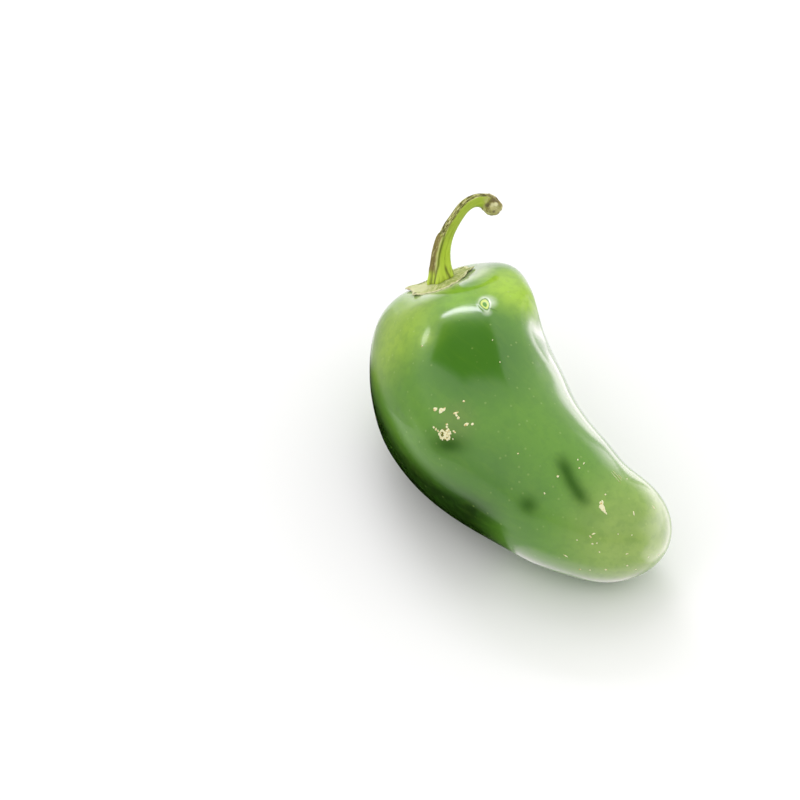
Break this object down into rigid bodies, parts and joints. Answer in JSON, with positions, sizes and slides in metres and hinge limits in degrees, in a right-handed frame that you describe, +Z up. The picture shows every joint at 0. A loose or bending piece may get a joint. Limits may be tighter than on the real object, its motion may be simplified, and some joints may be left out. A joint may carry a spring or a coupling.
{
  "type": "jalapeno pepper",
  "caption": "Whole green jalapeno pepper as picked, lying on its side, with a papery calyx and a hooked woody stem.",
  "frame": {"origin": "on the surface that the pepper lies on, under the middle of the whole pepper's bounding box", "axes": "+X from the stem end towards the tip along the pod's length, +Y towards the side that the pod's bend is hollow on and the stem hooks to, +Z up from the surface it lies on"},
  "size_m": [0.0728, 0.0418, 0.0429],
  "materials": {
    "pod": "glossy waxy green skin, yellower at the shoulder and paler at the tip, with small corky scars",
    "calyx": "matt dry papery buff green",
    "stem": "satin yellow-green fibrous stalk with brown bark streaks and a dry brown end"
  },
  "bodies": {
    "root": {"pod": "pod", "calyx": "calyx", "stem": "stem"}
  },
  "joints": []
}
